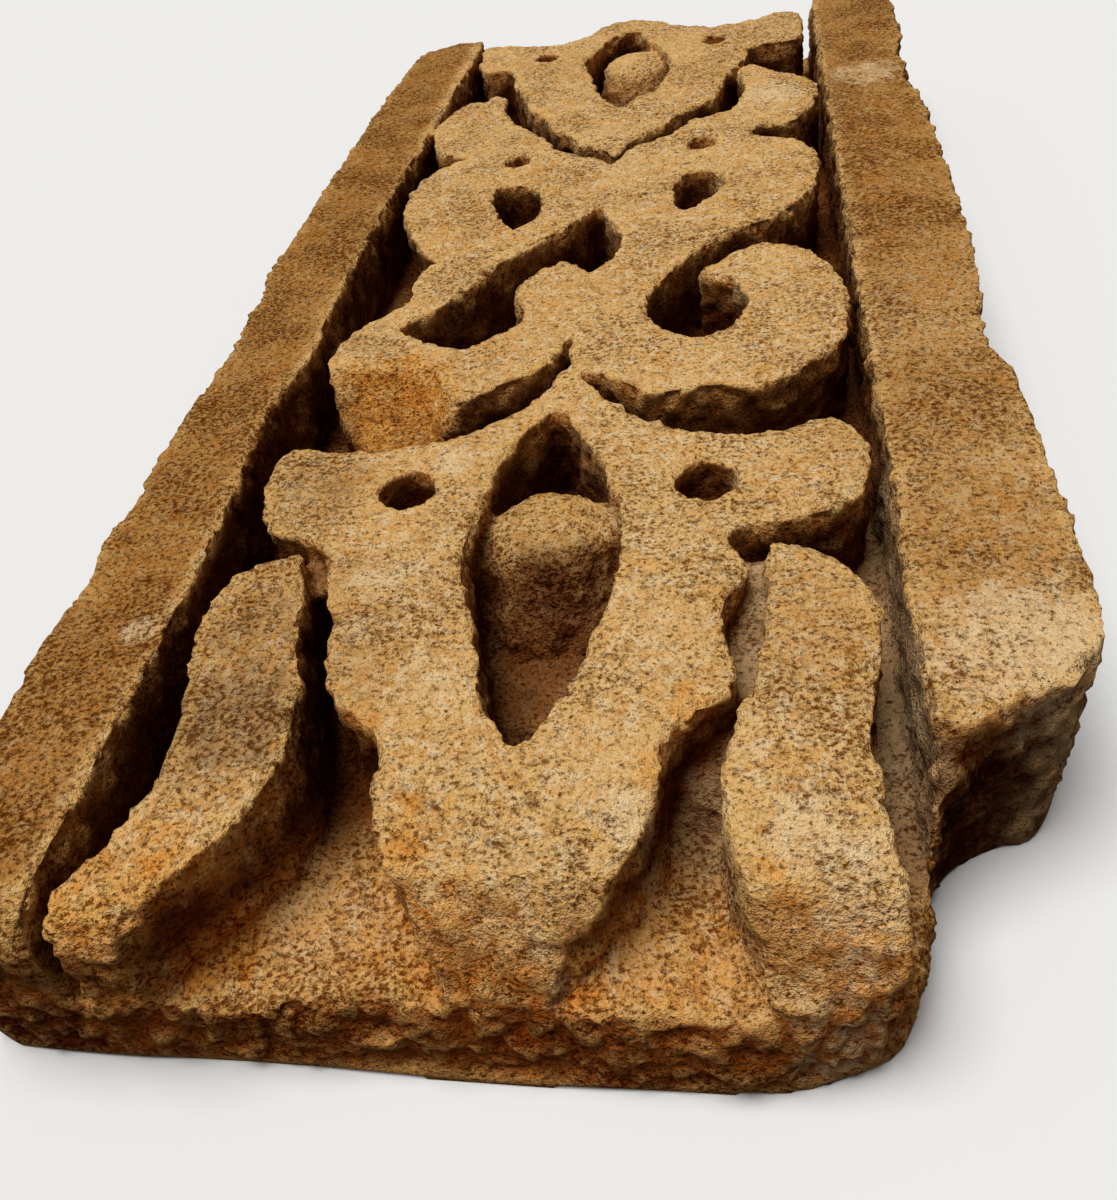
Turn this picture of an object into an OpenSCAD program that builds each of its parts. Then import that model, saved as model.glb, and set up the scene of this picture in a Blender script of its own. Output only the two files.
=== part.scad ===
// Carved sandstone slab: a length of frieze with a sunk channel between two plain borders.
// A calyx with two side leaves, a crossed pair of scrolls and a second calyx fill the channel.
// It lies on its back. X runs across, Y along the pattern, Z up out of the carved face.

/* [Slab] */
// Whole length, from the broken near end to the far end
slab_l = 605; // [510:1:800]
// Thickness, from the back bed to the carved face
slab_t = 64; // [50:1:90]
// Widest width of the left border
border_left_w = 39; // [28:1:60]
// Widest width of the right border
border_right_w = 43; // [30:1:60]

/* [Channel] */
// Width of the sunk channel between the borders
channel_w = 200; // [160:1:260]
// Depth of the carving, from the face to the sunk ground
relief_d = 34; // [20:1:42]

/* [Pattern] */
// Length of one repeat, from calyx tip to calyx tip
repeat_l = 396; // [330:1:475]
// Diameter of the near boss at half its height; it stands in the almond opening
near_boss_d = 38; // [24:1:40]
// Diameter of the far boss at half its height
far_boss_d = 38; // [24:1:40]
// How far the bosses stop short of the face
boss_below_face = 4; // [0:1:12]
// Rise of a boss's domed top
boss_dome_h = 7; // [3:1:12]

// How far the low saddles, which tie the leaf tips to the calyx, lie below the face
saddle_below_face = 8; // [3:1:18]

/* [Drill holes] */
// Diameter of the drill holes in the near calyx
near_drill_d = 18; // [10:1:22]
// Diameter of the drill holes at the crossing
middle_drill_d = 13; // [8:1:18]
// Diameter of the drill holes in the far calyx
far_drill_d = 14; // [8:1:18]
// Depth of the near drill holes
near_drill_depth = 15; // [4:1:24]
// Depth of the worn, shallow drill holes farther along
worn_drill_depth = 7; // [2:1:14]

/* [Breaks] */
// Length of the worn slope at the near end
worn_l = 44; // [20:1:60]
// How low the worn slope brings the face at the near end
worn_drop = 40; // [10:1:46]
// Rise of the spalled slope on the left volute
spall_h = 30; // [10:1:34]
// Run of that slope across the volute
spall_run = 28; // [10:1:32]

/* [Hidden] */

stone = [0.76, 0.62, 0.42];
ground_z = slab_t - relief_d;
steps = 3;          // straight steps between two knots of an outline
past = 20;          // how far a cut runs on past the stone
drawn_l = 605;      // the knots below are drawn for these three sizes
drawn_channel_w = 200;
drawn_repeat_l = 396;
edge_left = -channel_w / 2 - border_left_w;
edge_right = channel_w / 2 + border_right_w;

// ---- curves -------------------------------------------------------------------------

// One point of a Catmull-Rom curve, at t from 0 to 1 between b and c
function on_curve(a, b, c, d, t) =
    0.5 * (2 * b + (c - a) * t + (2 * a - 5 * b + 4 * c - d) * t * t
        + (3 * b - a - 3 * c + d) * t * t * t);

// A closed smooth outline through its knots
function smooth(k) = let (n = len(k)) [
    for (i = [0 : n - 1]) for (s = [0 : steps - 1])
        on_curve(k[(i + n - 1) % n], k[i], k[(i + 1) % n], k[(i + 2) % n], s / steps)
];

// Knots drawn for the pattern, stretched to its real width and repeat
function in_pattern(k) = [
    for (p = k) [p[0] * channel_w / drawn_channel_w, p[1] * repeat_l / drawn_repeat_l]
];

// Distance along the slab, stretched to its real length
function along(y) = y * slab_l / drawn_l;

// Places on the pattern, for what has only a centre
function spot(p) = in_pattern([p])[0];

module outline(k) { polygon(smooth(in_pattern(k))); }

// ---- the block ----------------------------------------------------------------------

// Chips and waves of the long edges: place along the slab, then how far in from the widest
right_edge = [[108, 0], [150, 0], [178, 1], [198, 0], [208, 4], [220, 7], [238, 4], [258, 2],
    [300, 1], [338, 0], [378, 1], [418, 0], [438, 2], [453, 5], [460, 7], [470, 3], [490, 5],
    [508, 3], [520, 0], [568, 0], [592, 1], [602, 8]];
left_edge = [[578, 8], [560, 4], [528, 2], [470, 1], [408, 0], [318, 0], [293, 1], [278, 3],
    [268, 2], [243, 6], [225, 5], [205, 3], [165, 3], [150, 5], [130, 3], [110, 7], [96, 4],
    [68, 5], [30, 4]];
// The far end, then the near end with the lost corner of the right border
far_end = [[110, 605], [60, 601], [20, 604], [-30, 602], [-70, 597], [-97, 592], [-115, 592],
    [-125, 586]];
near_end = [[-137, 4], [-104, 0], [-65, 1], [-18, 0], [14, 0], [48, 1], [66, 2], [80, 6],
    [92, 12], [98, 22], [101, 34], [102, 47], [110, 60], [122, 68], [132, 71], [138, 79],
    [142, 90]];

function across(x) = x < 0 ? x * edge_left / -139 : x * edge_right / 143;

block_outline = concat(
    [for (p = near_end) [across(p[0]), along(p[1])]],
    [for (p = right_edge) [edge_right - p[1], along(p[0])]],
    [for (p = far_end) [across(p[0]), along(p[1])]],
    [for (p = left_edge) [edge_left + p[1], along(p[0])]]
);

module block() { linear_extrude(slab_t) polygon(smooth(block_outline)); }

// ---- the channel and what stands in it ----------------------------------------------

// Inner side of the left border, chipped in one stretch: place along, then how far off line
channel_left = [[-30, 2], [60, 2], [108, 2], [150, 0], [178, -3], [196, -4], [212, 0],
    [240, 1], [290, -1], [390, -1], [440, 1], [505, 3], [558, 5], [640, 5]];

module channel() {
    polygon(concat(
        [for (p = channel_left) [-channel_w / 2 + p[1], along(p[0])]],
        [[channel_w / 2, along(640)], [channel_w / 2, along(-30)]]
    ));
}

near_calyx_right = [[2, 216], [10, 202], [20, 191], [38, 177], [55, 173], [70, 173], [86, 179],
    [93, 170], [95, 158], [93, 145], [86, 136], [75, 131], [62, 129], [55, 125], [58, 116],
    [60, 109], [55, 99], [55, 87], [58, 76], [55, 67], [45, 60], [41, 50], [40, 38], [31, 22],
    [20, 11], [10, -2]];
near_calyx_left = [[2, -8], [-10, 10], [-21, 26], [-26, 40], [-27, 54], [-31, 59], [-40, 64],
    [-48, 78], [-51, 96], [-57, 108], [-60, 121], [-68, 128], [-80, 132], [-87, 142],
    [-90, 156], [-90, 170], [-82, 174], [-65, 171], [-45, 173], [-28, 179], [-15, 188],
    [-7, 200]];
near_almond = [[0, 189], [9, 175], [17, 160], [23, 142], [26, 118], [24, 100], [17, 74],
    [12, 61], [7, 54], [2, 56], [-5, 72], [-12, 94], [-18, 117], [-17, 135], [-15, 160],
    [-9, 177]];

left_leaf = [[-69, 122], [-80, 118], [-88, 108], [-90, 92], [-85, 72], [-81, 54], [-81, 38],
    [-85, 25], [-90, 16], [-94, 9], [-92, -2], [-87, -8], [-81, -6], [-77, 2], [-71, 8],
    [-62, 20], [-53, 34], [-49, 50], [-52, 70], [-58, 88], [-62, 103], [-66, 118]];
right_leaf = [[67, 122], [78, 119], [86, 112], [91, 105], [92, 92], [90, 75], [87, 58],
    [88, 42], [91, 28], [93, 14], [95, -4], [84, -12], [72, -4], [65, 8], [58, 22], [54, 38],
    [55, 53], [60, 68], [63, 83], [65, 98], [65, 114]];

right_volute = [[1, 226], [4, 215], [17, 206], [30, 196], [45, 198], [60, 198], [70, 200],
    [79, 206], [87, 215], [93, 226], [96, 242], [95, 258], [91, 276], [84, 289], [76, 294],
    [67, 295], [57, 291], [50, 283], [43, 277], [50, 272], [57, 267], [61, 256], [60, 243],
    [53, 233], [43, 229], [34, 234], [27, 244], [25, 258], [29, 271], [36, 284]];
right_arm = [[45, 296], [56, 310], [68, 314], [80, 326], [88, 341], [92, 358], [92, 376],
    [87, 391], [78, 399], [70, 401], [65, 408], [68, 415], [77, 415], [86, 418], [92, 433],
    [97, 452], [95, 466], [88, 476], [78, 484], [72, 493], [64, 501], [58, 492], [60, 480],
    [62, 464], [57, 444], [50, 436], [38, 430], [31, 421], [22, 411], [12, 405], [6, 396]];
left_arm = [[1, 386], [-6, 394], [-17, 400], [-27, 408], [-35, 423], [-48, 441], [-58, 456],
    [-63, 473], [-65, 487], [-71, 492], [-76, 485], [-87, 482], [-92, 468], [-96, 452],
    [-93, 433], [-88, 419], [-80, 414], [-71, 408], [-80, 402], [-87, 393], [-92, 376],
    [-92, 358], [-87, 342], [-79, 324], [-71, 310], [-60, 304]];
left_volute = [[-68, 298], [-71, 286], [-70, 271], [-78, 258], [-88, 245], [-91, 230],
    [-87, 214], [-79, 204], [-68, 198], [-50, 195], [-36, 195], [-27, 203], [-15, 209],
    [-6, 219], [0, 238]];
// The hole in the left volute runs on in a groove to the diamond at the crossing
left_hole_and_diamond = [[-68, 248], [-55, 238], [-41, 231], [-32, 237], [-22, 246],
    [-22, 258], [-28, 272], [-21, 285], [-11, 293], [-4, 289], [1, 281], [7, 290], [12, 302],
    [10, 317], [2, 335], [-1, 345], [-5, 335], [-14, 322], [-27, 308], [-40, 288], [-50, 271],
    [-61, 256]];
left_eye = [[-50, 368], [-42, 370], [-33, 366], [-27, 354], [-27, 342], [-35, 328],
    [-42, 338], [-49, 353]];
right_eye = [[36, 368], [45, 367], [53, 356], [47, 344], [36, 330], [31, 347]];

// The far calyx is drawn from its own tip, one repeat along
far_calyx_right = [[2, 0], [7, 12], [15, 22], [23, 31], [30, 42], [37, 51], [46, 58], [50, 72],
    [52, 92], [59, 104], [64, 120], [63, 131], [74, 132], [88, 134], [93, 148], [94, 170],
    [91, 183], [80, 185], [68, 178], [52, 174], [36, 178], [20, 189], [4, 201]];
far_calyx_left = [[-12, 203], [-20, 197], [-30, 182], [-42, 174], [-58, 172], [-72, 178],
    [-90, 182], [-91, 170], [-89, 150], [-82, 135], [-70, 136], [-65, 125], [-61, 107],
    [-54, 90], [-51, 74], [-43, 62], [-37, 52], [-31, 36], [-22, 28], [-17, 16], [-8, 10]];
far_almond = [[-1, 60], [8, 72], [16, 79], [19, 92], [22, 115], [19, 138], [11, 156], [5, 171],
    [-2, 181], [-11, 176], [-18, 163], [-22, 150], [-25, 133], [-22, 114], [-17, 97],
    [-12, 80]];

// Centres of the bosses and drill holes: across, then along
near_boss_at = [3, 136];
far_boss_at = [2, 144];
near_drills = [[-42, 150], [49, 150]];
middle_drills = [[-44, 398], [42, 400]];
far_drills = [[-50, 150], [45, 150]];
// Centres and radii of the saddles between the leaf tips and the calyx
saddles = [[-65, 121, 8], [62, 118, 7]];
// The groove beside the right leaf shallows towards its saddle: place along, then how far up
// from the ground to the saddle its floor has risen
groove_floor = [[52, 0], [57, 0.45], [64, 0.62], [80, 0.7], [98, 0.8], [118, 1]];

// Everything that stands up to the face in the channel
module raised_pattern() {
    difference() {
        union() {
            outline(concat(near_calyx_right, near_calyx_left));
            outline(left_leaf);
            outline(right_leaf);
            outline(concat(right_volute, right_arm, left_arm, left_volute));
            translate([0, repeat_l]) outline(concat(far_calyx_right, far_calyx_left));
        }
        outline(near_almond);
        outline(left_hole_and_diamond);
        outline(left_eye);
        outline(right_eye);
        translate([0, repeat_l]) outline(far_almond);
    }
}

module sunk_ground() {
    translate([0, 0, ground_z]) linear_extrude(relief_d + past) difference() {
        channel();
        raised_pattern();
    }
}

// A round boss with a domed top, left standing on the sunk ground. It widens to its foot and
// leans a little towards the far end.
module boss(d, at) {
    top_z = slab_t - boss_below_face;
    height = top_z - ground_z;
    shoulder = d * 0.46;
    foot = d * 0.6;
    wide = 1.12;
    short = 0.94;
    lean = 0.4;
    dome_steps = 6;
    dome = [for (i = [0 : dome_steps]) let (a = 90 * i / dome_steps)
        [shoulder * cos(a), height - boss_dome_h + boss_dome_h * sin(a)]];
    translate([at[0], at[1], ground_z])
        multmatrix([[wide, 0, 0, 0], [0, short, lean, -lean * height / 2], [0, 0, 1, 0], [0, 0, 0, 1]])
            rotate_extrude($fn = 48) polygon(concat([[0, -2], [foot, -2], [foot, 0]], dome));
}

// Low necks of stone left between the leaf tips and the calyx
module leaf_saddles() {
    for (p = saddles) translate([spot(p)[0], spot(p)[1], ground_z - 2])
        cylinder(r = p[2], h = relief_d - saddle_below_face + 2, $fn = 32);
}

// The rising floor of the groove between the calyx and the right leaf
module shallow_groove() {
    rise = relief_d - saddle_below_face;
    end = groove_floor[len(groove_floor) - 1];
    translate([spot([42, 0])[0], 0, 0]) rotate([90, 0, 90])
        linear_extrude(spot([28, 0])[0]) polygon(concat(
            [for (p = groove_floor) [spot([0, p[0]])[1], ground_z + p[1] * rise]],
            [[spot([0, end[0]])[1], ground_z - 2], [spot([0, groove_floor[0][0]])[1], ground_z - 2]]
        ));
}

module drill_holes(places, d, depth, start = 0) {
    for (p = places) translate([spot(p)[0], start + spot(p)[1], slab_t - depth])
        cylinder(d = d, h = depth + past, $fn = 48);
}

// ---- the breaks ---------------------------------------------------------------------

// The face falls away to the near end in a worn slope, less on the left side, and steeply on
// what is left of the right border beside its lost corner. Places along that slope are shares
// of its length, and depths are shares of its drop.
module worn_near_end() {
    slope = [[1, 0], [0.75, 0.06], [0.5, 0.17], [0.32, 0.4], [0.18, 0.68], [0.07, 1]];
    left_slope = [[0.27, 0], [0.13, 0.06], [0.06, 0.15], [0, 0.32]];
    right_slope = [[1.36, 0], [1.22, 0.28], [1.09, 0.55], [0.9, 0.85], [0.6, 1]];
    worn_slice(slope, -46, edge_right + past);
    worn_slice(left_slope, edge_left - past, -46);
    worn_slice(right_slope, channel_w / 2 - 1, edge_right + past);
}

// One slice of that slope, between two places across the slab
module worn_slice(slope, from_x, to_x) {
    section = [for (p = slope) [p[0] * worn_l, slab_t - p[1] * worn_drop]];
    last = section[len(section) - 1];
    translate([from_x, 0, 0]) rotate([90, 0, 90]) linear_extrude(to_x - from_x)
        polygon(concat([[section[0][0], slab_t + past]], section,
            [[last[0] - 2, last[1] - 20], [-past, last[1] - 20], [-past, slab_t + past]]));
}

// A flake lost from the near side of the left volute: a hollow slope that runs a little askew to
// the slab, stopped on its right by a second slope that rises to the face
module spall() {
    near = spot([0, 193])[1];
    intersection() {
        translate([spot([-66, 0])[0], near, slab_t]) rotate([0, 0, -8]) rotate([90, 0, 90])
            linear_extrude(76, center = true) polygon([[-5, past], [-5, -spall_h],
                [0, -spall_h], [spall_run * 0.45, -spall_h * 0.58], [spall_run, 0.1],
                [spall_run, past]]);
        translate([spot([-34, 0])[0], near, slab_t]) rotate([0, 0, 29]) rotate([90, 0, 0])
            linear_extrude(120, center = true) polygon([[0, past], [0, 0.1], [-18, -spall_h],
                [-90, -spall_h], [-90, past]]);
    }
}

// ---- the piece ----------------------------------------------------------------------

module carved_slab() {
    color(stone) translate([-(edge_left + edge_right) / 2, -slab_l / 2, 0]) {
        difference() {
            block();
            sunk_ground();
            worn_near_end();
            spall();
            drill_holes(near_drills, near_drill_d, near_drill_depth);
            drill_holes(middle_drills, middle_drill_d, worn_drill_depth);
            drill_holes(far_drills, far_drill_d, worn_drill_depth, repeat_l);
        }
        leaf_saddles();
        shallow_groove();
        boss(near_boss_d, spot(near_boss_at));
        boss(far_boss_d, spot(far_boss_at) + [0, repeat_l]);
    }
}

carved_slab();
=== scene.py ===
# %% [markdown]
# # A carved sandstone slab
# The real piece is a length of frieze, cut in one block of coarse sandstone: two plain borders and,
# sunk between them, a calyx, two leaves, a crossed pair of scrolls and a second calyx. Rain, soot
# and knocks have rounded every edge, opened its pores and stained the fresh breaks with iron.
#
# The CAD solid already has the right outline, relief and size, so nothing here changes those. What
# it lacks is what time did to the stone. This notebook makes that in two ways: real geometry for
# wear that changes the shape, and a procedural material for what is finer than a few millimetres.
# The material also paints shade into hollows, pits and walls that face right or towards the near
# end, and paints light onto proud edges and a few patches.

# %% Load the frame
import math

import bpy
import numpy as np
from mathutils import Matrix, Vector


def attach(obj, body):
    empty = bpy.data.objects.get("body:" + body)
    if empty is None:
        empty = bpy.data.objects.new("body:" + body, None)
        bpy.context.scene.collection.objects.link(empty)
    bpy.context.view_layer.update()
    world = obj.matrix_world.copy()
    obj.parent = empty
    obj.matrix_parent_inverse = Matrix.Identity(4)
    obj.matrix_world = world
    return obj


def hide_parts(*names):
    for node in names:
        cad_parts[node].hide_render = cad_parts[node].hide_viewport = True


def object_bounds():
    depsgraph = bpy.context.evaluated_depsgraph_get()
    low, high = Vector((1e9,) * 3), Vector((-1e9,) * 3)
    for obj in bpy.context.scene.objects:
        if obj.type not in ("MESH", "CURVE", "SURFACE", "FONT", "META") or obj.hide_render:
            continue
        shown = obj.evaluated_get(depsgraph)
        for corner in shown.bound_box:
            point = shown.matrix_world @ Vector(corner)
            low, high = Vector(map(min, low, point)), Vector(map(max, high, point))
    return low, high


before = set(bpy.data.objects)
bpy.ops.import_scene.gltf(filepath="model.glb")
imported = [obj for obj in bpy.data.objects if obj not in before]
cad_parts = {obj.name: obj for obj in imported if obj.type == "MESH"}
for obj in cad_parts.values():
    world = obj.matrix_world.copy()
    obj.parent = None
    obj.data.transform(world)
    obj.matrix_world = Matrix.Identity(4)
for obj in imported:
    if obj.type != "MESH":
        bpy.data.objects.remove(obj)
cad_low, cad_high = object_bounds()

scene = bpy.context.scene
print("CAD box in metres:", [round(v, 4) for v in (*cad_low, *cad_high)])

# %% [markdown]
# ## Where things are
# Places on the stone are easiest to say the way a mason would mark them out: so far across from the
# channel's centre line, so far along from the near end. The two long edges of the CAD box are the
# borders' outer edges. The right border is the wider one, so the channel's centre line lies a
# little to the left of the box's middle, by half the difference in the borders' widths.

# %% Marking out
MM = 0.001
BORDER_DIFFERENCE = 4 * MM
NEAR_END = cad_low.y
FACE = cad_high.z
RELIEF = 34 * MM
GROUND = FACE - RELIEF
CENTRE_LINE = (cad_low.x + cad_high.x) / 2 - BORDER_DIFFERENCE / 2


def place(across, along):
    """A place in plan, in metres, from millimetres across and along."""
    return np.array([CENTRE_LINE + across * MM, NEAR_END + along * MM])


print("face at", round(FACE, 4), "ground at", round(GROUND, 4))

# %% [markdown]
# ## Camera
# The camera looks steeply down along the slab from its broken near end, held a little askew. A
# camera is set here by where it stands, the point it looks at and its roll, which is simpler to
# read and to change than three Euler angles. `to_track_quat` turns the line of sight into a
# rotation with the horizon level, and the roll is a turn about that line.

# %% Place the camera
camera_data = bpy.data.cameras.new("camera")
camera_data.sensor_width = 36.0
camera_data.lens = 31.22
camera_data.clip_start = 0.02
camera = bpy.data.objects.new("camera", camera_data)
scene.collection.objects.link(camera)

stand = Vector((0.0596, -0.3945, 0.2520))
looks_at = Vector((0.0093, -0.2024, 0.0640))
ROLL = math.radians(-11.15)
level = (looks_at - stand).to_track_quat("-Z", "Y").to_matrix().to_4x4()
camera.matrix_world = Matrix.Translation(stand) @ level @ Matrix.Rotation(ROLL, 4, "Z")
scene.camera = camera
print("camera", round((looks_at - stand).length, 3), "m from what it looks at")

# %% [markdown]
# ## Light and floor
# Carving is read from its shadows, so one broad key light stands high and a little to the left, as
# skylight from a roof window would, and a weak even fill keeps the hollows legible. Their strengths
# add up to one on a level surface, so a colour renders about as it is written.
#
# The floor is pale for the eye, but a white floor would throw light up under the broken near face.
# Light Path tells the two apart: the camera sees the pale colour, and bounced light a dark one.

# %% Build the studio
scene.view_settings.view_transform = "Standard"
KEY_DIRECTION = Vector((-0.20, -0.04, 0.98)).normalized()
FILL = 0.15
key_data = bpy.data.lights.new("key", "SUN")
key_data.angle = math.radians(34)
key_data.energy = (1.0 - FILL) * math.pi / KEY_DIRECTION.z
key = bpy.data.objects.new("key", key_data)
key.rotation_euler = KEY_DIRECTION.to_track_quat("Z", "Y").to_euler()
scene.collection.objects.link(key)

world = bpy.data.worlds.new("studio")
world.use_nodes = True
world.node_tree.nodes["Background"].inputs["Color"].default_value = (1.0, 1.0, 1.0, 1.0)
world.node_tree.nodes["Background"].inputs["Strength"].default_value = FILL
scene.world = world

FLOOR_HALF = 6.0
floor_mesh = bpy.data.meshes.new("floor")
corners = [(-1, -1), (1, -1), (1, 1), (-1, 1)]
floor_points = [(x * FLOOR_HALF, y * FLOOR_HALF, 0.0) for x, y in corners]
floor_mesh.from_pydata(floor_points, [], [(0, 1, 2, 3)])
floor = bpy.data.objects.new("floor", floor_mesh)
scene.collection.objects.link(floor)

floor_material = bpy.data.materials.new("pale floor")
floor_material.use_nodes = True
nodes, links = floor_material.node_tree.nodes, floor_material.node_tree.links
seen = nodes.new("ShaderNodeLightPath")
floor_colour = nodes.new("ShaderNodeMix")
floor_colour.data_type = "RGBA"
floor_colour.inputs[6].default_value = (0.16, 0.15, 0.14, 1.0)
floor_colour.inputs[7].default_value = (0.86, 0.85, 0.83, 1.0)
links.new(seen.outputs["Is Camera Ray"], floor_colour.inputs[0])
links.new(floor_colour.outputs[2], nodes["Principled BSDF"].inputs["Base Color"])
nodes["Principled BSDF"].inputs["Roughness"].default_value = 0.9
nodes["Principled BSDF"].inputs["Specular IOR Level"].default_value = 0.1
floor_mesh.materials.append(floor_material)
print("key energy", round(key_data.energy, 2), "fill", FILL)

# %% [markdown]
# ## A noise to weather with
# Worn stone is irregular at every scale, but never random from one run to the next: the same stone
# has to come out each time. So the unevenness comes from a hash of whole-number lattice points,
# smoothly blended between them. It needs no seed but its own number, works on all points at once
# in numpy, and a sum of it at halved sizes gives the rough-within-rough look of broken stone.

# %% Lattice noise
def lattice_value(ix, iy, iz, seed):
    """A repeatable value from -1 to 1 for each whole-number lattice point."""
    # Large odd factors and shifts scramble the bits, so that neighbours share nothing.
    n = (ix * 374761393 + iy * 668265263 + iz * 1440662683 + seed * 974634777) & 0xFFFFFFFF
    n = ((n ^ (n >> 13)) * 1274126177) & 0xFFFFFFFF
    n = ((n ^ (n >> 15)) * 668265263) & 0xFFFFFFFF
    return ((n >> 8) & 0xFFFF) / 32767.5 - 1.0


def smooth_noise(points, size, seed):
    """Noise from -1 to 1 whose lumps are about `size` metres across."""
    p = points / size + 1000.0
    cell = np.floor(p).astype(np.int64)
    f = p - cell
    f = f * f * f * (f * (f * 6 - 15) + 10)
    total = np.zeros(len(points))
    for dx in (0, 1):
        for dy in (0, 1):
            for dz in (0, 1):
                weight = (f[:, 0] if dx else 1 - f[:, 0]) * (f[:, 1] if dy else 1 - f[:, 1])
                weight = weight * (f[:, 2] if dz else 1 - f[:, 2])
                corner = (cell[:, 0] + dx, cell[:, 1] + dy, cell[:, 2] + dz)
                total += weight * lattice_value(*corner, seed)
    return total


def rough_noise(points, size, seed, octaves=4, keep=0.5):
    """A sum of noises, each half the size of the last and `keep` times as strong."""
    total, strength = np.zeros(len(points)), 1.0
    for octave in range(octaves):
        total += strength * smooth_noise(points, size / 2 ** octave, seed + octave)
        strength *= keep
    return total


def ramp(value, start, end):
    """0 before start, 1 after end, and smooth between."""
    t = np.clip((value - start) / (end - start), 0.0, 1.0)
    return t * t * (3 - 2 * t)


print("noise ready:", smooth_noise(np.zeros((1, 3)), 0.01, 1).round(3))

# %% [markdown]
# ## The raw block
# The CAD mesh has long thin triangles, which can't hold a worn surface. A voxel remesh rebuilds the
# same shape from small even cells, so every part of the stone can move. Subdividing would be the
# usual way, but it would keep the long triangles and need millions of them. The cells are finer
# than the wear, and at the very end the mesh is thinned out again where the stone is flat.

# %% Remesh the solid
CELL = 1.25 * MM


def baked(source, name):
    """A new mesh of what an object's modifiers make."""
    depsgraph = bpy.context.evaluated_depsgraph_get()
    mesh = bpy.data.meshes.new_from_object(source.evaluated_get(depsgraph))
    mesh.name = name
    return mesh


def read_points(mesh):
    flat = np.empty(len(mesh.vertices) * 3)
    mesh.vertices.foreach_get("co", flat)
    return flat.reshape(-1, 3)


def read_normals(mesh):
    flat = np.empty(len(mesh.vertices) * 3)
    mesh.vertex_normals.foreach_get("vector", flat)
    return flat.reshape(-1, 3)


def write_points(mesh, points):
    mesh.vertices.foreach_set("co", points.ravel())
    mesh.update()


stone = bpy.data.objects.new("carved_stone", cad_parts["carved_slab"].data.copy())
scene.collection.objects.link(stone)
weld = stone.modifiers.new("weld", "WELD")
weld.merge_threshold = 1e-6
cells = stone.modifiers.new("cells", "REMESH")
cells.mode = "VOXEL"
cells.voxel_size = CELL
cells.adaptivity = 0.0
stone.data = baked(stone, "carved_stone")
stone.modifiers.clear()
print("remeshed to", len(stone.data.vertices), "points")

# %% [markdown]
# ## Rounded by weather
# A fresh chisel edge is sharp, but this stone's edges are all rounded. Smoothing the mesh does what
# wear does: it takes from edges and leaves flats alone. A vertex group says how strongly, so that
# the inner side of the right leaf's tip, which has worn to a soft slope, is rolled over far more
# than the rest, and the flat back bed is left alone.

# %% Soften the edges
EDGE_PASSES = 3
LEAF_PASSES = 16
LEVELS = 8


def distance_across_along(points, across, along):
    """Distance in plan from a place on the stone, in metres."""
    centre = place(across, along)
    return np.hypot(points[:, 0] - centre[0], points[:, 1] - centre[1])


def soften(obj, weights, passes, name):
    """Adds a Smooth modifier that works as strongly as the weights, rounded to a few levels."""
    group = obj.vertex_groups.new(name=name)
    levels = np.round(weights * LEVELS).astype(int)
    for level_number in range(1, LEVELS + 1):
        chosen = np.nonzero(levels == level_number)[0]
        if len(chosen):
            group.add(chosen.tolist(), level_number / LEVELS, "REPLACE")
    smooth = obj.modifiers.new(name, "SMOOTH")
    smooth.factor = 0.5
    smooth.iterations = passes
    smooth.vertex_group = group.name


points = read_points(stone.data)
off_bed = ramp(points[:, 2], 1 * MM, 5 * MM)
soften(stone, off_bed, EDGE_PASSES, "all edges")
rolled = 1 - ramp(distance_across_along(points, 55, 40), 12 * MM, 26 * MM)
rolled = np.maximum(rolled, 1 - ramp(distance_across_along(points, 62, 14), 12 * MM, 24 * MM))
soften(stone, rolled * off_bed, LEAF_PASSES, "rolled leaf side")
stone.data = baked(stone, "carved_stone")
stone.modifiers.clear()
stone.vertex_groups.clear()
print("softened", len(stone.data.vertices), "points")

# %% [markdown]
# ## Uneven surface
# The points now move along their own normals. Three scales do it: a slow wave left by the mason's
# eye, a lumpy tooth from the coarse bedding, and a fine grit. Walls and the sunk ground are rougher
# than the face, which was rubbed flat. Breaks and the battered near boss are roughest, because
# stone tears between its grains. Edges also lose chips, wherever a noise rises over a level. The
# back bed gets none of it, because the slab has to sit flat.

# %% Find edges, walls and breaks
LOST_CORNER = (118, 62)
NEAR_BOSS = (3, 136)


def neighbour_average(mesh, values, passes):
    """Values averaged over each point's neighbours, some times over."""
    edges = np.empty(len(mesh.edges) * 2, dtype=np.int64)
    mesh.edges.foreach_get("vertices", edges)
    a, b = edges[0::2], edges[1::2]
    count = np.bincount(edges, minlength=len(mesh.vertices)).clip(1)
    for _ in range(passes):
        summed = np.zeros_like(values)
        for k in range(values.shape[1]):
            at_a = np.bincount(a, values[b, k], len(values))
            at_b = np.bincount(b, values[a, k], len(values))
            summed[:, k] = at_a + at_b
        values = summed / count[:, None]
    return values


def edge_measure(mesh, points, normals, passes):
    """How far each point stands proud of its neighbourhood, in millimetres."""
    return ((points - neighbour_average(mesh, points, passes)) * normals).sum(axis=1) / MM


def brokenness(points, near, far, inner, outer):
    """1 on the near end and on the lost corner, 0 away from both."""
    along = (points[:, 1] - NEAR_END) / MM
    at_end = 1 - ramp(along, near, far)
    at_corner = 1 - ramp(distance_across_along(points, *LOST_CORNER), inner * MM, outer * MM)
    return np.maximum(at_end, at_corner)


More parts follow.
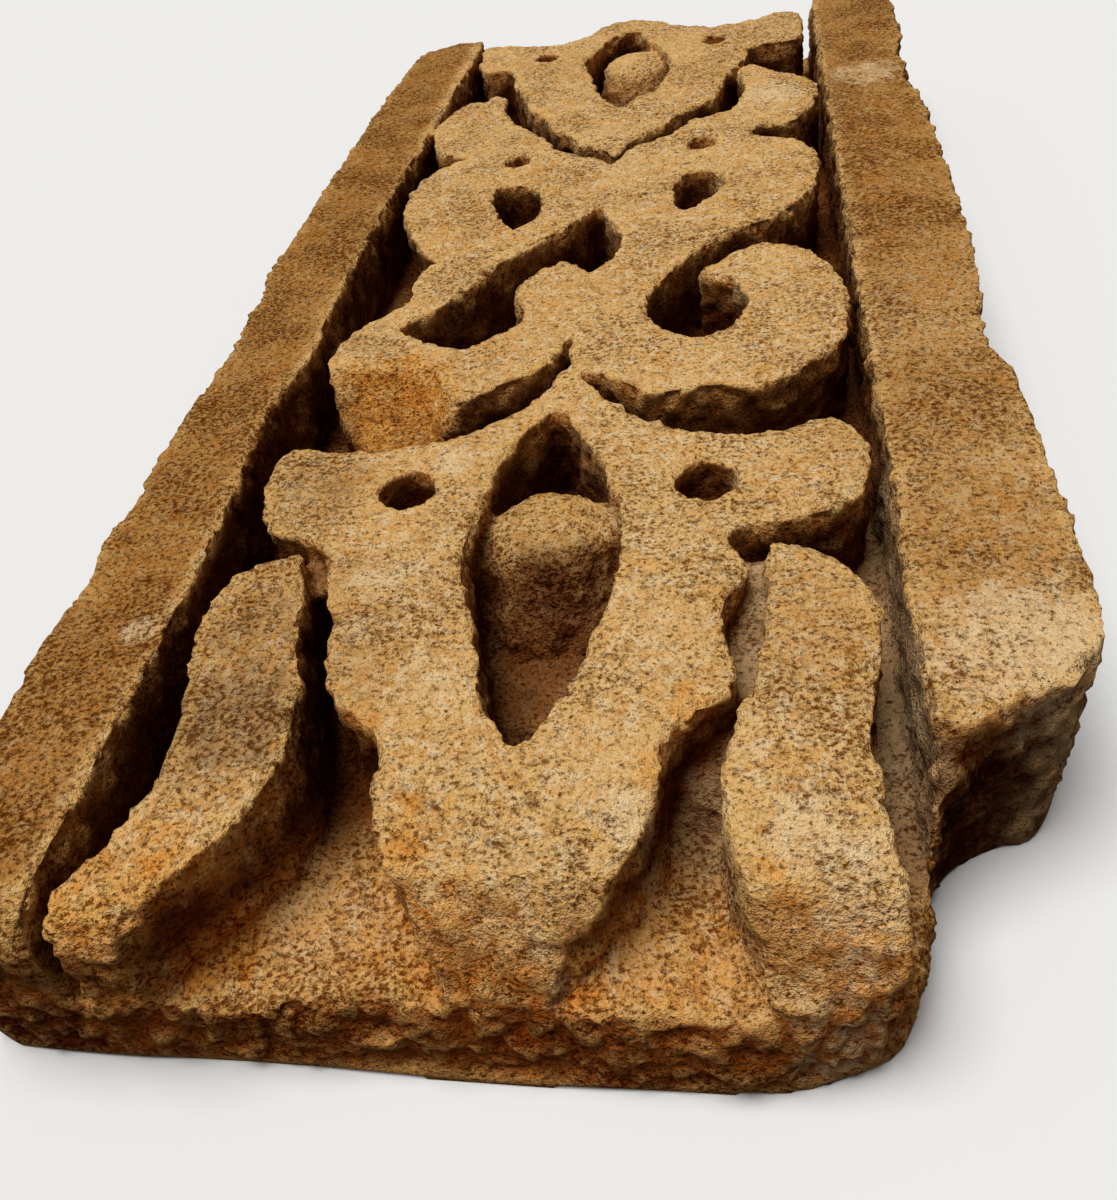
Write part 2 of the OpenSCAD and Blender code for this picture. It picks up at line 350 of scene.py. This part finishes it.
points = read_points(stone.data)
normals = read_normals(stone.data)
broken = brokenness(points, 10, 40, 14, 32)
wall = 1 - ramp(np.abs(normals[:, 2]), 0.35, 0.85)
ground = 1 - ramp(points[:, 2], GROUND + 3 * MM, GROUND + 9 * MM)
arris = ramp(edge_measure(stone.data, points, normals, 8), 0.25, 1.2)
battered = 1.3 - 1.3 * ramp(distance_across_along(points, *NEAR_BOSS), 20 * MM, 26 * MM)
rocky = np.maximum(0.5 * broken, battered)
print("points on edges:", int((arris > 0.5).sum()), "and on breaks:", int((broken > 0.5).sum()))

# %% Roughen
WAVE_SIZE = 34 * MM
TEAR_SIZE = 12 * MM
TOOTH_SIZE = 7 * MM
CHIP_SIZE = 5.5 * MM
GRIT_SIZE = 2.6 * MM
CHIP_DEPTH = 1.8
LOWERED = 0.3

off_bed = ramp(points[:, 2], 1.5 * MM, 7 * MM)
wave = smooth_noise(points, WAVE_SIZE, 11) * 0.5
tooth = rough_noise(points, TOOTH_SIZE, 21, 3, 0.65) * (0.32 + 0.60 * wall + 0.30 * ground)
grit = smooth_noise(points, GRIT_SIZE, 41) * (0.34 + 0.50 * wall + 0.20 * ground)
tear = rough_noise(points, TEAR_SIZE, 61, 4, 0.7) * rocky * (0.40 + 0.60 * wall)
chips = ramp(rough_noise(points, CHIP_SIZE, 81, 3, 0.6), 0.05, 0.70) * CHIP_DEPTH * arris
shift = (wave + tooth + grit + tear - chips - LOWERED) * off_bed * MM
points += normals * shift[:, None]
points[:, 2] = np.maximum(points[:, 2], 0.0)
write_points(stone.data, points)
print("moved by up to", round(float(np.abs(shift).max()) / MM, 2), "mm")

# %% [markdown]
# ## Carving that is lower than it looks
# Three things are too slight or too soft for the solid but plain to the eye. One scroll's lobe dips
# where the other passes over it, so that they read as crossed. The inner corner of the right leaf's
# tip has worn away. And the rim of the ground has lost bites at the near end. Each is a push
# straight down that fades out from its place.

# %% Dips and bites
LOBE_FROM, LOBE_TO = (-68, 299), (-22, 338)
LOBE_REACH = 17
LOBE_DIP = 4.0
WORN_TIP = (65, -2)
WORN_TIP_DROP = 15.0
# Each bite: across, along, radius and depth, all in millimetres
BITES = [
    (-25, 2, 8, 3.5), (-60, 0, 9, 2.5), (12, 0, 9, 2.5),
    (40, 0, 8, 2.5), (66, 0, 8, 2.5), (-5, 0, 7, 2.5),
]


def push_down(points, mask, depth_mm):
    points[:, 2] -= mask * depth_mm * MM


def beside_line(points, start, end, reach):
    """1 on the left of the line from start to end (across, along), fading out over reach mm."""
    a, b = place(*start), place(*end)
    length = np.linalg.norm(b - a)
    direction = (b - a) / length
    away = points[:, :2] - a
    ahead = away @ direction
    aside = (direction[0] * away[:, 1] - direction[1] * away[:, 0]) / MM
    within = ramp(ahead, -12 * MM, 0.0) * (1 - ramp(ahead, 0.4 * length, length))
    return ramp(aside, -0.6, 0.9) * (1 - ramp(aside, 2, reach)) * within


points = read_points(stone.data)
high = ramp(points[:, 2], FACE - 8 * MM, FACE - 3 * MM)
push_down(points, beside_line(points, LOBE_FROM, LOBE_TO, LOBE_REACH) * high, LOBE_DIP)
above_ground = ramp(points[:, 2], GROUND, FACE - 4 * MM)
near_tip = 1 - ramp(distance_across_along(points, *WORN_TIP), 8 * MM, 24 * MM)
push_down(points, near_tip * above_ground, WORN_TIP_DROP)
for across, along_mm, radius, depth in BITES:
    reach = distance_across_along(points, across, along_mm) / (radius * MM)
    push_down(points, (1 - ramp(reach, 0.35, 1.0)) * ramp(points[:, 2], 12 * MM, 24 * MM), depth)
write_points(stone.data, points)
print("lobe dipped, leaf tip worn and", len(BITES), "bites taken")

# %% [markdown]
# ## How much sky each place sees
# The finish darkens hollows, as grime and as painted shade, so it needs to know how hemmed in each
# point is. A grid of heights is enough to tell: from each point, look out in twelve directions, find
# how high the stone stands up against the sky in each, and average what is left open. It is
# measured on the fine mesh, before thinning leaves holes in the grid.

# %% Map the heights
STEP = 1.8 * MM
EDGE_CELLS = 40
HEADINGS = 12
LOOK_OUT_MM = (3, 5, 8, 12, 17, 24, 34, 48)
# A bump lower than this hides no sky
LOWEST_BUMP = 0.6 * MM


def cell_of(points):
    columns = np.floor((points[:, 0] - cad_low.x) / STEP).astype(int) + EDGE_CELLS
    rows = np.floor((points[:, 1] - cad_low.y) / STEP).astype(int) + EDGE_CELLS
    return columns, rows


def height_map(points):
    columns, rows = cell_of(points)
    grid = np.zeros((columns.max() + EDGE_CELLS, rows.max() + EDGE_CELLS))
    np.maximum.at(grid, (columns, rows), points[:, 2])
    return grid


def sky_share(points, grid):
    """The share of the sky each point sees, from 0 to 1."""
    open_sky = np.zeros(len(points))
    for k in range(HEADINGS):
        turn = k * 2 * math.pi / HEADINGS
        heading = np.array([math.cos(turn), math.sin(turn), 0.0])
        slope = np.zeros(len(points))
        for distance in LOOK_OUT_MM:
            columns, rows = cell_of(points + heading * distance * MM)
            columns = np.clip(columns, 0, grid.shape[0] - 1)
            rows = np.clip(rows, 0, grid.shape[1] - 1)
            rise = grid[columns, rows] - points[:, 2] - LOWEST_BUMP
            slope = np.maximum(slope, rise / (distance * MM))
        open_sky += 1 - slope / np.sqrt(1 + slope * slope)
    return open_sky / HEADINGS


heights = height_map(read_points(stone.data))
print("height map of", heights.shape, "cells")

# %% [markdown]
# ## Thinning the mesh
# The even cells are wasteful on broad flats. Collapsing edges where the surface hardly bends brings
# the piece under its limit of 200,000 triangles and spends those where the stone is rough.

# %% Decimate
TRIANGLES = 190_000


def triangle_count(mesh):
    return sum(len(polygon.vertices) - 2 for polygon in mesh.polygons)


before = triangle_count(stone.data)
if before > TRIANGLES:
    thin = stone.modifiers.new("thin", "DECIMATE")
    thin.ratio = TRIANGLES / before
    stone.data = baked(stone, "carved_stone")
    stone.modifiers.clear()
stone.data.polygons.foreach_set("use_smooth", np.ones(len(stone.data.polygons), dtype=bool))
print("from", before, "to", triangle_count(stone.data), "triangles")

# %% [markdown]
# ## Where time left its marks, and where light and shade are painted
# No two hollows of an old stone look alike: one holds soot, another fresh dust, a third an iron
# stain. Noise alone would spread all of them evenly, so each kind of mark has a short list of
# places. One list places painted shade, beside the near boss and along the left border's inner
# wall, and the pale list places painted light on the left leaf's end and the near-left ground as
# well as lime bloom. A place is how far across, how far along, a radius, all in millimetres, and a
# strength.

# %% List the places and make their masks
AGED_FLOOR = 0.05
AGED_PLACES = [
    (-66, 76, 40, 0.5), (-66, 108, 22, 0.45), (-76, 150, 26, 0.4), (76, 90, 30, 0.3),
    (104, 46, 16, 0.8), (118, 125, 34, 0.6), (118, 180, 40, 0.5), (3, 140, 24, 0.4),
]
POROUS_PLACES = [(3, 130, 24, 0.8), (80, 60, 40, 0.5), (-72, 60, 40, 0.4)]
# Painted shade: places beside the near boss and along the left border's inner wall
PAINTED_SHADE_PLACES = [
    (3, 112, 20, 0.9), (16, 124, 9, 0.8), (-98, 60, 20, 0.8), (-100, 90, 24, 1.0),
    (-100, 125, 24, 1.0), (-100, 160, 24, 1.0), (-100, 200, 24, 0.8), (-100, 240, 24, 0.6),
]
DUSTY_PLACES = [
    (98, 50, 14, 0.8), (98, 70, 16, 1.0), (98, 95, 18, 1.0), (98, 120, 18, 1.0),
    (98, 148, 18, 0.8), (63, 72, 10, 0.8), (63, 90, 12, 1.0), (65, 112, 12, 1.0),
    (50, 50, 12, 0.6),
]
RUST_PLACES = [
    (-8, 14, 16, 0.7), (8, 6, 12, 0.7), (-18, 30, 12, 0.8), (-34, 58, 10, 0.7), (47, 66, 9, 0.7),
    (38, 48, 8, 0.7), (-86, 12, 16, 0.9), (-66, 15, 14, 0.9), (-72, 30, 12, 0.6), (2, 150, 9, 0.5),
    (68, 26, 9, 0.7), (88, 12, 14, 0.9), (90, -2, 12, 0.8), (-62, 206, 30, 1.0),
    (-84, 222, 10, 0.7), (54, 466, 10, 0.9), (-40, 452, 10, 0.6), (-30, 10, 9, 0.5),
    (24, 6, 9, 0.8), (-97, 88, 6, 0.9),
]
# Pale lime bloom, and painted light on the left leaf's end and the near-left ground
BLOOM_AND_LIGHT_PLACES = [
    (125, 85, 26, 0.9), (105, 78, 18, 0.7), (120, 468, 22, 0.8), (76, 455, 20, 0.9),
    (-41, 110, 12, 0.8), (33, 36, 8, 1.0), (-20, 74, 16, 0.6), (-30, 163, 10, 0.8),
    (-107, 92, 8, 0.8), (0, 375, 22, 0.5), (74, 32, 13, 0.9), (84, 22, 14, 0.8),
    (80, 6, 16, 0.6), (16, 12, 6, 0.7), (-42, 24, 20, 0.5), (-65, 50, 12, 0.4),
    (-10, 60, 30, 0.3), (-84, 14, 12, 0.5), (-2, 24, 16, 0.5), (-30, 112, 10, 0.6),
    (-44, 90, 8, 0.7),
]
GREY_PLACES = [(-66, 60, 26, 0.9), (-72, 156, 20, 0.6), (-70, 92, 20, 0.6), (-78, 240, 16, 0.6)]


def spots(points, places):
    """A mask that has each place's strength at its middle and fades outward."""
    mask = np.zeros(len(points))
    for across, along_mm, radius, strength in places:
        far = distance_across_along(points, across, along_mm) / (radius * MM)
        mask = np.maximum(mask, strength * (1 - ramp(far, 0.45, 1.25)))
    return mask


points = read_points(stone.data)
normals = read_normals(stone.data)
rusty = spots(points, RUST_PLACES)
bloom_and_painted_light = spots(points, BLOOM_AND_LIGHT_PLACES)
sooty = spots(points, GREY_PLACES)
print("stained points: rust", int((rusty > 0.5).sum()), "pale", int((bloom_and_painted_light > 0.5).sum()))

# %% [markdown]
# ## Masks the finish needs
# The finish darkens hollows, as grime and as painted shade, and lightens proud edges, as clean wear
# and as a painted highlight. A shader can't measure that well, so it is measured here once and
# stored on the points as attributes: how sheltered each point is, how far it stands proud as an
# edge, whether it is on a wall that faces right or towards the near end, which gets painted shade,
# and whether it is on the dusty ground.

# %% Measure shelter, edges and walls
sky = neighbour_average(stone.data, sky_share(points, heights)[:, None], 2)[:, 0]
# Grime and painted shade, darker where a point sees less sky
grime_and_shade = 1 - ramp(sky + 0.06 * rough_noise(points, 9 * MM, 101, 3), 0.10, 0.56)
# Proud edges get a painted highlight as well as clean wear
worn_edge_and_highlight = ramp(edge_measure(stone.data, points, normals, 4), 0.15, 0.8)
wall = 1 - ramp(normals[:, 2], 0.25, 0.85)
# Painted shade on walls that face right or towards the near end
shaded_side_walls = wall * ramp(normals[:, 0] - normals[:, 1], -0.6, 0.2)
low = 1 - ramp(points[:, 2], GROUND + 4 * MM, GROUND + 14 * MM)
dust = low * ramp(normals[:, 2], 0.3, 0.8)
print("mean shelter", round(float(grime_and_shade.mean()), 3), "and edge", round(float(worn_edge_and_highlight.mean()), 3))

# %% [markdown]
# ## Breaks, settled dust, grime and painted shade
# The broken near face and the lost corner carry a red-brown patina, which stops at the ground's
# rim; it is painted shade as well, since it leaves out whatever faces up. Loose dust lies in a few
# hollows and on whatever in them faces up, and takes the place of most grime and painted shade
# there. On the open ground at the near end, the grime and painted shade are mostly taken off.

# %% Measure breaks, dust, grime and painted shade
below_ground = 1 - ramp(points[:, 2], GROUND - 4 * MM, GROUND + 4 * MM)
lost_corner = 1 - ramp(distance_across_along(points, *LOST_CORNER), 14 * MM, 30 * MM)
# Red-brown patina on the breaks, and painted shade: what faces up is left out
patina_and_shade = brokenness(points, 6, 22, 14, 30) * np.maximum(below_ground, lost_corner)
patina_and_shade *= 1 - ramp(normals[:, 2], 0.55, 0.95)

settled = spots(points, DUSTY_PLACES) * ramp(-normals[:, 0] + 2 * normals[:, 2], 0.0, 0.8)
settled *= 1 - ramp(points[:, 2], FACE - 6 * MM, FACE - 2 * MM)

hollow = 1 - ramp(points[:, 2], FACE - 9 * MM, FACE - 2 * MM)
# Grime and painted shade are mostly taken off the open ground at the near end
open_ground_near_end = low * (1 - ramp(points[:, 1], place(0, 30)[1], place(0, 56)[1]))
# More painted shade in the listed places, low in the hollows
grime_and_shade = np.maximum(grime_and_shade, spots(points, PAINTED_SHADE_PLACES) * hollow)
grime_and_shade *= 1 - 0.9 * open_ground_near_end
grime_and_shade *= 1 - 0.7 * settled
print("mean patina", round(float(patina_and_shade.mean()), 3))
print("mean settled dust", round(float(settled.mean()), 3))

# %% [markdown]
# ## Age and pores
# The two borders are browner than the carving, the left one all along and the right one more and
# more towards the far end. Older skin is more porous too, and so are the ground and the walls,
# while settled dust fills pores and there are fewer under the pale patches, lime bloom and painted
# light alike. All the masks are then stored.

# %% Measure age and pores
left_border = 1 - ramp(points[:, 0], place(-104, 0)[0], place(-98, 0)[0])
right_border = ramp(points[:, 0], place(98, 0)[0], place(104, 0)[0])
far_along = ramp(points[:, 1], place(0, 110)[1], place(0, 330)[1])
aged = AGED_FLOOR + spots(points, AGED_PLACES) + 0.95 * left_border
aged += 0.9 * right_border * far_along

porous = 0.9 * aged + 0.8 * low + 0.3 * wall + spots(points, POROUS_PLACES)
porous *= (1 - settled) * (1 - 0.8 * bloom_and_painted_light)


def store(mesh, name, values):
    attribute = mesh.attributes.new(name, "FLOAT", "POINT")
    attribute.data.foreach_set("value", np.clip(values, 0.0, 1.0).astype(np.float32))


masks = {
    "grime_and_shade": grime_and_shade, "worn_edge_and_highlight": worn_edge_and_highlight, "wall": shaded_side_walls, "dust": dust, "patina_and_shade": patina_and_shade,
    "aged": aged, "settled dust": settled, "porous": porous,
    "rust": rusty, "pale": bloom_and_painted_light, "grey": sooty,
}
for name, values in masks.items():
    store(stone.data, name, values)
print("stored", len(masks), "masks")

# %% [markdown]
# ## Node groups
# Each effect of the finish is a group of nodes with plain names for what goes in and comes out. A
# group is built once, and a second stone could use the same groups with other values. They give
# out only colours, masks and heights; the shader itself stays in the material.

# %% A helper for groups
class Group:
    """A shader node group being built: sockets by name, and nodes added and linked in one line."""

    def __init__(self, name, inputs, outputs):
        self.tree = bpy.data.node_groups.new(name, "ShaderNodeTree")
        kinds = {"value": "NodeSocketFloat", "colour": "NodeSocketColor", "vector": "NodeSocketVector"}
        for label, kind in inputs:
            self.tree.interface.new_socket(label, in_out="INPUT", socket_type=kinds[kind])
        for label, kind in outputs:
            self.tree.interface.new_socket(label, in_out="OUTPUT", socket_type=kinds[kind])
        self.given = self.tree.nodes.new("NodeGroupInput").outputs
        self.result = self.tree.nodes.new("NodeGroupOutput").inputs

    def link(self, source, target):
        """Links a socket, or sets the value when the source is a number or a colour."""
        if isinstance(source, (int, float, tuple)):
            target.default_value = source
        else:
            self.tree.links.new(source, target)

    def noise(self, position, size_mm, detail=2.0, roughness=0.5):
        node = self.tree.nodes.new("ShaderNodeTexNoise")
        self.link(position, node.inputs["Vector"])
        node.inputs["Scale"].default_value = 1.0 / (size_mm * MM)
        node.inputs["Detail"].default_value = detail
        node.inputs["Roughness"].default_value = roughness
        return node.outputs["Fac"]

    def between(self, value, low, high, to_low=0.0, to_high=1.0):
        """A smooth step as the value goes from low to high; low may be the larger of the two."""
        node = self.tree.nodes.new("ShaderNodeMapRange")
        node.interpolation_type = "SMOOTHSTEP"
        limits = {"From Min": low, "From Max": high, "To Min": to_low, "To Max": to_high}
        for label, number in limits.items():
            self.link(number, node.inputs[label])
        self.link(value, node.inputs["Value"])
        return node.outputs["Result"]

    def math(self, operation, a, b):
        node = self.tree.nodes.new("ShaderNodeMath")
        node.operation = operation
        self.link(a, node.inputs[0])
        self.link(b, node.inputs[1])
        return node.outputs[0]

    def mix(self, factor, a, b):
        node = self.tree.nodes.new("ShaderNodeMix")
        node.data_type = "RGBA"
        self.link(factor, node.inputs[0])
        self.link(a, node.inputs[6])
        self.link(b, node.inputs[7])
        return node.outputs[2]


print("group helper ready")

# %% [markdown]
# ## Bare sandstone
# The stone is quartz grains in a clay and iron cement: a warm tan that drifts from paler to
# browner over a hand's breadth, mottles in ochre, brown and cream at the size of a fingertip, and
# sparkles at the size of a grain. Seven noises, from 70 mm down to 1 mm, give it, each laid over
# the last where it rises or falls past a level. The two finest give the relief as well.

# %% Sandstone group
def sandstone_group():
    outputs = [("Colour", "colour"), ("Height", "value")]
    g = Group("sandstone", [("Position", "vector")], outputs)
    position = g.given["Position"]
    drift = g.between(g.noise(position, 70, 2), 0.32, 0.68)
    mottle = g.between(g.noise(position, 9, 3, 0.6), 0.30, 0.70)
    blotch = g.noise(position, 6.0, 3, 0.6)
    ochre = g.noise(position, 13, 3, 0.65)
    cream = g.noise(position, 4.2, 3, 0.6)
    speck = g.noise(position, 2.5, 4, 0.7)
    grain = g.noise(position, 1.0, 2, 0.6)
    colour = g.mix(drift, (0.81, 0.430, 0.135, 1), (0.90, 0.535, 0.200, 1))
    colour = g.mix(g.math("MULTIPLY", mottle, 0.5), colour, (0.97, 0.620, 0.255, 1))
    colour = g.mix(g.between(ochre, 0.52, 0.66, 0.0, 0.60), colour, (0.88, 0.420, 0.085, 1))
    colour = g.mix(g.between(blotch, 0.46, 0.32, 0.0, 0.75), colour, (0.60, 0.285, 0.065, 1))
    colour = g.mix(g.between(speck, 0.53, 0.62, 0.0, 0.50), colour, (0.78, 0.350, 0.065, 1))
    colour = g.mix(g.between(speck, 0.44, 0.34, 0.0, 0.85), colour, (0.58, 0.260, 0.050, 1))
    colour = g.mix(g.between(cream, 0.51, 0.63, 0.0, 0.65), colour, (0.98, 0.730, 0.410, 1))
    colour = g.mix(g.between(grain, 0.43, 0.31), colour, (0.46, 0.190, 0.030, 1))
    colour = g.mix(g.between(grain, 0.54, 0.66, 0.0, 0.60), colour, (0.98, 0.730, 0.410, 1))
    g.link(colour, g.result["Colour"])
    fine = g.math("MULTIPLY", grain, 1.10)
    g.link(g.math("ADD", fine, g.math("MULTIPLY", speck, 2.20)), g.result["Height"])
    return g.tree


sandstone = sandstone_group()
print(sandstone.name)

# %% [markdown]
# ## Open pores
# Where softer grains have washed out, the face is peppered with pits about a millimetre wide and a
# few twice that, more crowded in some beds than in others and drawn out a little across the slab.
# A noise cut off at a level makes irregular pits, where a Voronoi pattern would make round ones. A
# slower noise moves the level to crowd or thin them, and so does the mask of how porous each place
# is. The relief starts at a lower level than the colour, so that each pit has a sloping rim.

# %% Pore group
def pore_group():
    inputs = [("Position", "vector"), ("Amount", "value")]
    outputs = [("Pores", "value"), ("Height", "value")]
    g = Group("open pores", inputs, outputs)
    stretch = g.tree.nodes.new("ShaderNodeVectorMath")
    stretch.operation = "MULTIPLY"
    g.link(g.given["Position"], stretch.inputs[0])
    stretch.inputs[1].default_value = (0.85, 1.0, 1.0)
    position = stretch.outputs["Vector"]
    crowd = g.between(g.noise(position, 24, 2), 0.3, 0.7, -0.05, 0.05)
    level = g.math("ADD", crowd, g.math("MULTIPLY", g.given["Amount"], 0.06))
    small = g.math("ADD", g.noise(position, 1.35, 3, 0.65), level)
    large = g.math("ADD", g.noise(position, 3.2, 4, 0.75), g.math("MULTIPLY", crowd, 0.6))
    pores = g.math("MAXIMUM", g.between(small, 0.59, 0.69), g.between(large, 0.60, 0.69))
    g.link(pores, g.result["Pores"])
    depth = g.math("MAXIMUM", g.between(small, 0.52, 0.72, 0.0, 0.8), g.between(large, 0.56, 0.70))
    g.link(depth, g.result["Height"])
    return g.tree


open_pores = pore_group()
print(open_pores.name)

# %% [markdown]
# ## Stains that follow a mask
# Iron stain, pale lime bloom and grey soot all do the same thing: they start from a place on the
# stone and fade out raggedly through its grain. The pale one also lays painted light on the left
# leaf's end and the near-left ground. One group does it for all three. The mask from the points
# says where, and a noise with finer noise inside it tears its edge.

# %% Ragged stain group
def stain_group():
    inputs = [("Position", "vector"), ("Mask", "value"), ("Patch size", "value")]
    g = Group("ragged stain", inputs, [("Stain", "value")])
    scaled = g.tree.nodes.new("ShaderNodeVectorMath")
    scaled.operation = "SCALE"
    g.link(g.given["Position"], scaled.inputs[0])
    g.link(g.given["Patch size"], scaled.inputs["Scale"])
    patches = g.noise(scaled.outputs["Vector"], 7, 4, 0.65)
    torn = g.math("ADD", g.given["Mask"], g.math("MULTIPLY", g.math("SUBTRACT", patches, 0.5), 1.9))
    stain = g.between(torn, 0.38, 1.0)
    g.link(g.math("MULTIPLY", stain, g.between(g.given["Mask"], 0.02, 0.25)), g.result["Stain"])
    return g.tree


ragged_stain = stain_group()
print(ragged_stain.name)

# %% [markdown]
# ## The stone's material
# The layers go on in this order: bare stone, the browner skin of age, earth on the ground, painted
# shade on walls that face right or towards the near end, red-brown patina with painted shade on the
# breaks, iron stain, pale bloom with some painted light, grey soot, clean worn edges with a painted
# highlight, grime and painted shade in the hollows, and dust that has settled since. The pores come
# last: each pit is darkened, a painted shade inside it, whatever colour its rim has. A stain that
# soaks in tints what is under it, and a crust or a dust covers it.

# %% Helpers for the material
material = bpy.data.materials.new("weathered sandstone")
material.use_nodes = True
tree = material.node_tree
shader = tree.nodes["Principled BSDF"]
position = tree.nodes.new("ShaderNodeTexCoord").outputs["Object"]


def set_or_link(value, socket):
    if isinstance(value, (int, float)):
        socket.default_value = value
    else:
        tree.links.new(value, socket)


def add_group(group, **inputs):
    """Places a group; each input is named as its socket is, with _ for a space."""
    node = tree.nodes.new("ShaderNodeGroup")
    node.node_tree = group
    for label, value in inputs.items():
        set_or_link(value, node.inputs[label.replace("_", " ")])
    return node.outputs


def stored(name):
    """The mask of that name, read from the points."""
    node = tree.nodes.new("ShaderNodeAttribute")
    node.attribute_name = name
    return node.outputs["Fac"]


def combine(operation, a, b):
    node = tree.nodes.new("ShaderNodeMath")
    node.operation = operation
    set_or_link(a, node.inputs[0])
    set_or_link(b, node.inputs[1])
    return node.outputs[0]


def cover(mask, strength, under, colour, blend="MIX"):
    """Puts a colour on what is under it, as strongly as a mask times a strength."""
    scaled = combine("MULTIPLY", mask, strength)
    scaled.node.use_clamp = True
    node = tree.nodes.new("ShaderNodeMix")
    node.data_type = "RGBA"
    node.blend_type = blend
    tree.links.new(scaled, node.inputs[0])
    tree.links.new(under, node.inputs[6])
    node.inputs[7].default_value = (*colour, 1.0)
    return node.outputs[2]


def tint(mask, strength, under, colour):
    """Multiplies what is under it by a colour, so that its own pattern still shows."""
    return cover(mask, strength, under, colour, "MULTIPLY")


print("helpers ready for", material.name)

# %% Lay on the colours
bare = add_group(sandstone, Position=position)
pores = add_group(open_pores, Position=position, Amount=stored("porous"))
rust = add_group(ragged_stain, Position=position, Mask=stored("rust"), Patch_size=1.0)["Stain"]
pale = add_group(ragged_stain, Position=position, Mask=stored("pale"), Patch_size=1.5)["Stain"]
grey = add_group(ragged_stain, Position=position, Mask=stored("grey"), Patch_size=1.6)["Stain"]

colour = bare["Colour"]
colour = tint(stored("aged"), 1.0, colour, (0.62, 0.48, 0.31))
colour = tint(stored("dust"), 0.90, colour, (0.93, 0.78, 0.60))
# Painted shade on walls that face right or towards the near end
colour = tint(stored("wall"), 0.90, colour, (0.90, 0.57, 0.30))
# Red-brown patina, and painted shade on the breaks
colour = tint(stored("patina_and_shade"), 0.90, colour, (0.47, 0.255, 0.085))
colour = tint(rust, 1.0, colour, (1.0, 0.74, 0.38))
# Pale bloom, and in places painted light
colour = cover(pale, 0.60, colour, (1.0, 0.73, 0.40))
colour = cover(grey, 0.45, colour, (0.20, 0.115, 0.055))
# Lighter, golden edges: clean wear and a painted highlight
colour = cover(stored("worn_edge_and_highlight"), 0.35, colour, (1.0, 0.61, 0.20))
# Grime and painted shade in the hollows
colour = tint(stored("grime_and_shade"), 0.94, colour, (0.17, 0.065, 0.022))
colour = cover(stored("settled dust"), 0.60, colour, (0.46, 0.305, 0.165))
# Each pit darkened: painted shade inside it
colour = tint(pores["Pores"], 1.0, colour, (0.34, 0.170, 0.035))
tree.links.new(colour, shader.inputs["Base Color"])
shader.inputs["Roughness"].default_value = 0.95
shader.inputs["Specular IOR Level"].default_value = 0.05
print("colour laid on in", sum(node.bl_idname == "ShaderNodeMix" for node in tree.nodes), "layers")

# %% [markdown]
# ## Grain and pits in relief
# What is finer than the mesh still catches the light, so a Bump node tilts the shading by a height:
# the grain stands up, the pores go down, and walls, which were never rubbed, are coarser. Heights
# are in millimetres, so the bump's distance is one millimetre.

# %% Add the relief
PORE_DEPTH = 0.95
WALL_COARSER = 0.6

millimetres = combine("SUBTRACT", bare["Height"], combine("MULTIPLY", pores["Height"], PORE_DEPTH))
# The walls that get painted shade are also made coarser
coarser = combine("ADD", 1.0, combine("MULTIPLY", stored("wall"), WALL_COARSER))
bump = tree.nodes.new("ShaderNodeBump")
bump.inputs["Strength"].default_value = 1.0
bump.inputs["Distance"].default_value = 1.0 * MM
tree.links.new(combine("MULTIPLY", millimetres, coarser), bump.inputs["Height"])
tree.links.new(bump.outputs["Normal"], shader.inputs["Normal"])

stone.data.materials.clear()
stone.data.materials.append(material)
print("material with", len(tree.nodes), "nodes")

# %% [markdown]
# ## Standing in for the solid
# The worn stone takes the CAD solid's place in the picture, and the solid stays for weight and
# contact. It moves with the only body there is.

# %% Hand over
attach(stone, "root")
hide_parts("carved_slab")
